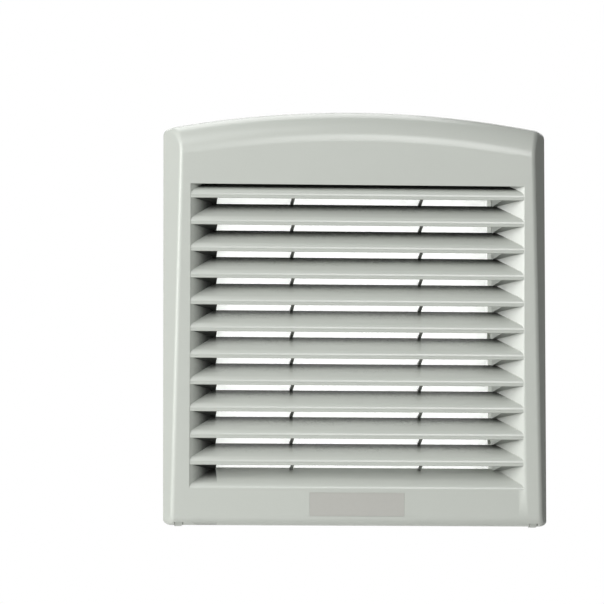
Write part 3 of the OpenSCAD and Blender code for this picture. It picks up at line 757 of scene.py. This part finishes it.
mat = {"inset": Vector((0.3, 0.5, 0.3)), "round": 2.2, "fill": 0.5, "glow": 3.4, "letThrough": 0.9}
low, high = (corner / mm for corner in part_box("filter_mat"))
pad = addBlock("filterPad", low + mat["inset"], high - mat["inset"])
roundEdges(pad, lambda a, b: True, mat["round"], 4)
pickObject(pad)
bpy.ops.object.mode_set(mode="EDIT")
bpy.ops.mesh.select_all(action="SELECT")
bpy.ops.mesh.subdivide(number_cuts=1)
bpy.ops.object.mode_set(mode="OBJECT")
smoothPiece(pad, 60)
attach(pad, "base")
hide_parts("filter_mat")
fleece = Finish("whiteFleece", (0.93, 0.94, 0.93), Roughness=0.9)
curlA = fleece.noise(140.0, 4.0, 0.7, distortion=2.0)
curlB = fleece.noise(90.0, 3.0, 0.6, vector=fleece.place(turn=(0.4, 0.2, 0.9)), distortion=2.5)
strands = fleece.ramp(curlA, (0.45, 0), (0.5, 1), (0.55, 0))
strands = strands + fleece.ramp(curlB, (0.46, 0), (0.5, 1), (0.54, 0))
tuft = fleece.ramp(fleece.noise(220.0, 3.0, 0.6), (0.36, 0), (0.62, 1))
fleece.feed("Base Color", fleece.blend(strands * 0.5, (0.95, 0.95, 0.95, 1), (0.85, 0.86, 0.855, 1)))
fleece.feed("Normal", fleece.bump(strands, 0.0004, 0.5))
# a light of its own, in place of the daylight that comes through a thin mat
fleece.feed("Emission Color", fleece.blend(strands * 0.7 + tuft * 0.3, (1, 1, 1, 1), (0.3, 0.3, 0.3, 1)))
fleece.shader.inputs["Emission Strength"].default_value = mat["glow"]
seeping = fleece.add("ShaderNodeBsdfTranslucent", {}, {"Color": (0.97, 0.975, 0.97, 1)})
fleece.mixIn(mat["letThrough"], seeping)
fleece.dress(pad)

gasket = {"wide": 2.8, "outerRound": 6.8, "innerRound": 4.2, "edgeRound": 0.5}


def isUpright(a, b):
    # an edge that runs straight back from the panel
    return abs(a.x - b.x) < 0.01 and abs(a.z - b.z) < 0.01


low, high = (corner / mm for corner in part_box("panel_gasket"))
ring = addBlock("foamGasket", low, high)
roundEdges(ring, isUpright, gasket["outerRound"], 8)
clear = Vector((gasket["wide"], -2, gasket["wide"]))
core = addBlock("core", low + clear, high - clear)
roundEdges(core, isUpright, gasket["innerRound"], 8)
combine(ring, core, "DIFFERENCE")
tidyMesh(ring)
roundEdges(ring, lambda a, b: min(a.y, b.y) > high.y - 0.1, gasket["edgeRound"], 3)
smoothPiece(ring, 40)
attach(ring, "base")
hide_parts("panel_gasket")
foam = Finish("darkFoam", (0.05, 0.052, 0.053))
cells = foam.add("ShaderNodeTexVoronoi", {}, {"Vector": foam.place(), "Scale": 1100.0})
foam.feed("Base Color", foam.blend(cells, (0.02, 0.02, 0.021, 1), (0.075, 0.077, 0.078, 1)))
foam.feed("Roughness", cells * 0.2 + 0.72)
foam.feed("Normal", foam.bump(cells, 0.0003, 0.8))
foam.dress(ring)
print("mat and gasket done")

studio = {"floorZ": -0.55, "floorSize": 40.0}
clearSelection()
bpy.ops.mesh.primitive_plane_add(size=studio["floorSize"], location=(0, 0, studio["floorZ"]))
floor = bpy.context.object
floor.name = "floor"
bpy.ops.object.transform_apply(location=True, rotation=False, scale=True)
paper = Finish("palePaper", (0.82, 0.82, 0.81), Roughness=0.8)
paper.feed("Base Color", paper.blend(paper.noise(6.0), (0.8, 0.8, 0.79, 1), (0.84, 0.84, 0.83, 1)))
paper.dress(floor)


# azimuth and elevation in degrees, distance, width and height in metres, then radiance
lamps = {
    "keySoftbox": (-68, 15, 1.25, 0.6, 0.7, 6.8),
    "crownSoftbox": (9, 19.5, 2.2, 0.45, 0.75, 8.0),
    "topSoftbox": (-25, 52, 1.5, 0.8, 0.8, 1.6),
    "rimSoftbox": (-170, 60, 1.5, 0.9, 0.9, 2.6),
    "floorCard": (-30, -45, 0.55, 0.6, 0.4, 0.5),
    "matBacklight": (180, 12, 1.2, 1.2, 1.2, 1.4),
}


def addLight(name, azimuth, elevation, distance, width, height, radiance):
    a, e = radians(azimuth), radians(elevation)
    direction = Vector((sin(a) * cos(e), -cos(a) * cos(e), sin(e)))
    lamp = bpy.data.lights.new(name, "AREA")
    lamp.shape, lamp.size, lamp.size_y = "RECTANGLE", width, height
    lamp.energy = radiance * pi * width * height
    holder = bpy.data.objects.new(name, lamp)
    bpy.context.collection.objects.link(holder)
    holder.location = direction * distance
    holder.rotation_euler = (-direction).to_track_quat("-Z", "Y").to_euler()
    holder.visible_camera = False


for name, values in lamps.items():
    addLight(name, *values)

world = bpy.data.worlds.new("studio")
bpy.context.scene.world = world
world.use_nodes = True
world.node_tree.nodes.clear()
sky = Nodes(world.node_tree)
way = sky.add("ShaderNodeTexCoord", output="Generated")
frontal = sky.ramp(0.5 - sky.axis("Y", way) * 0.5, (0.35, 0), (0.8, 1))
leftward = sky.ramp(0.5 - sky.axis("X", way) * 0.5, (0.3, 0), (0.8, 1))
level = frontal * leftward * 0.92 + 0.04
# plain white to the camera and through the mat, dimmer as a light
seen = sky.add("ShaderNodeLightPath", output="Is Camera Ray")
seen = seen.atLeast(sky.add("ShaderNodeLightPath", output="Is Transmission Ray"))
strength = seen + (1 - seen) * level
backdrop = sky.add("ShaderNodeBackground", {}, {"Color": (1, 1, 1, 1), "Strength": strength})
ending = sky.tree.nodes.new("ShaderNodeOutputWorld")
sky.tree.links.new(backdrop.socket, ending.inputs["Surface"])

bpy.context.scene.view_settings.view_transform = "Standard"
print("ready")
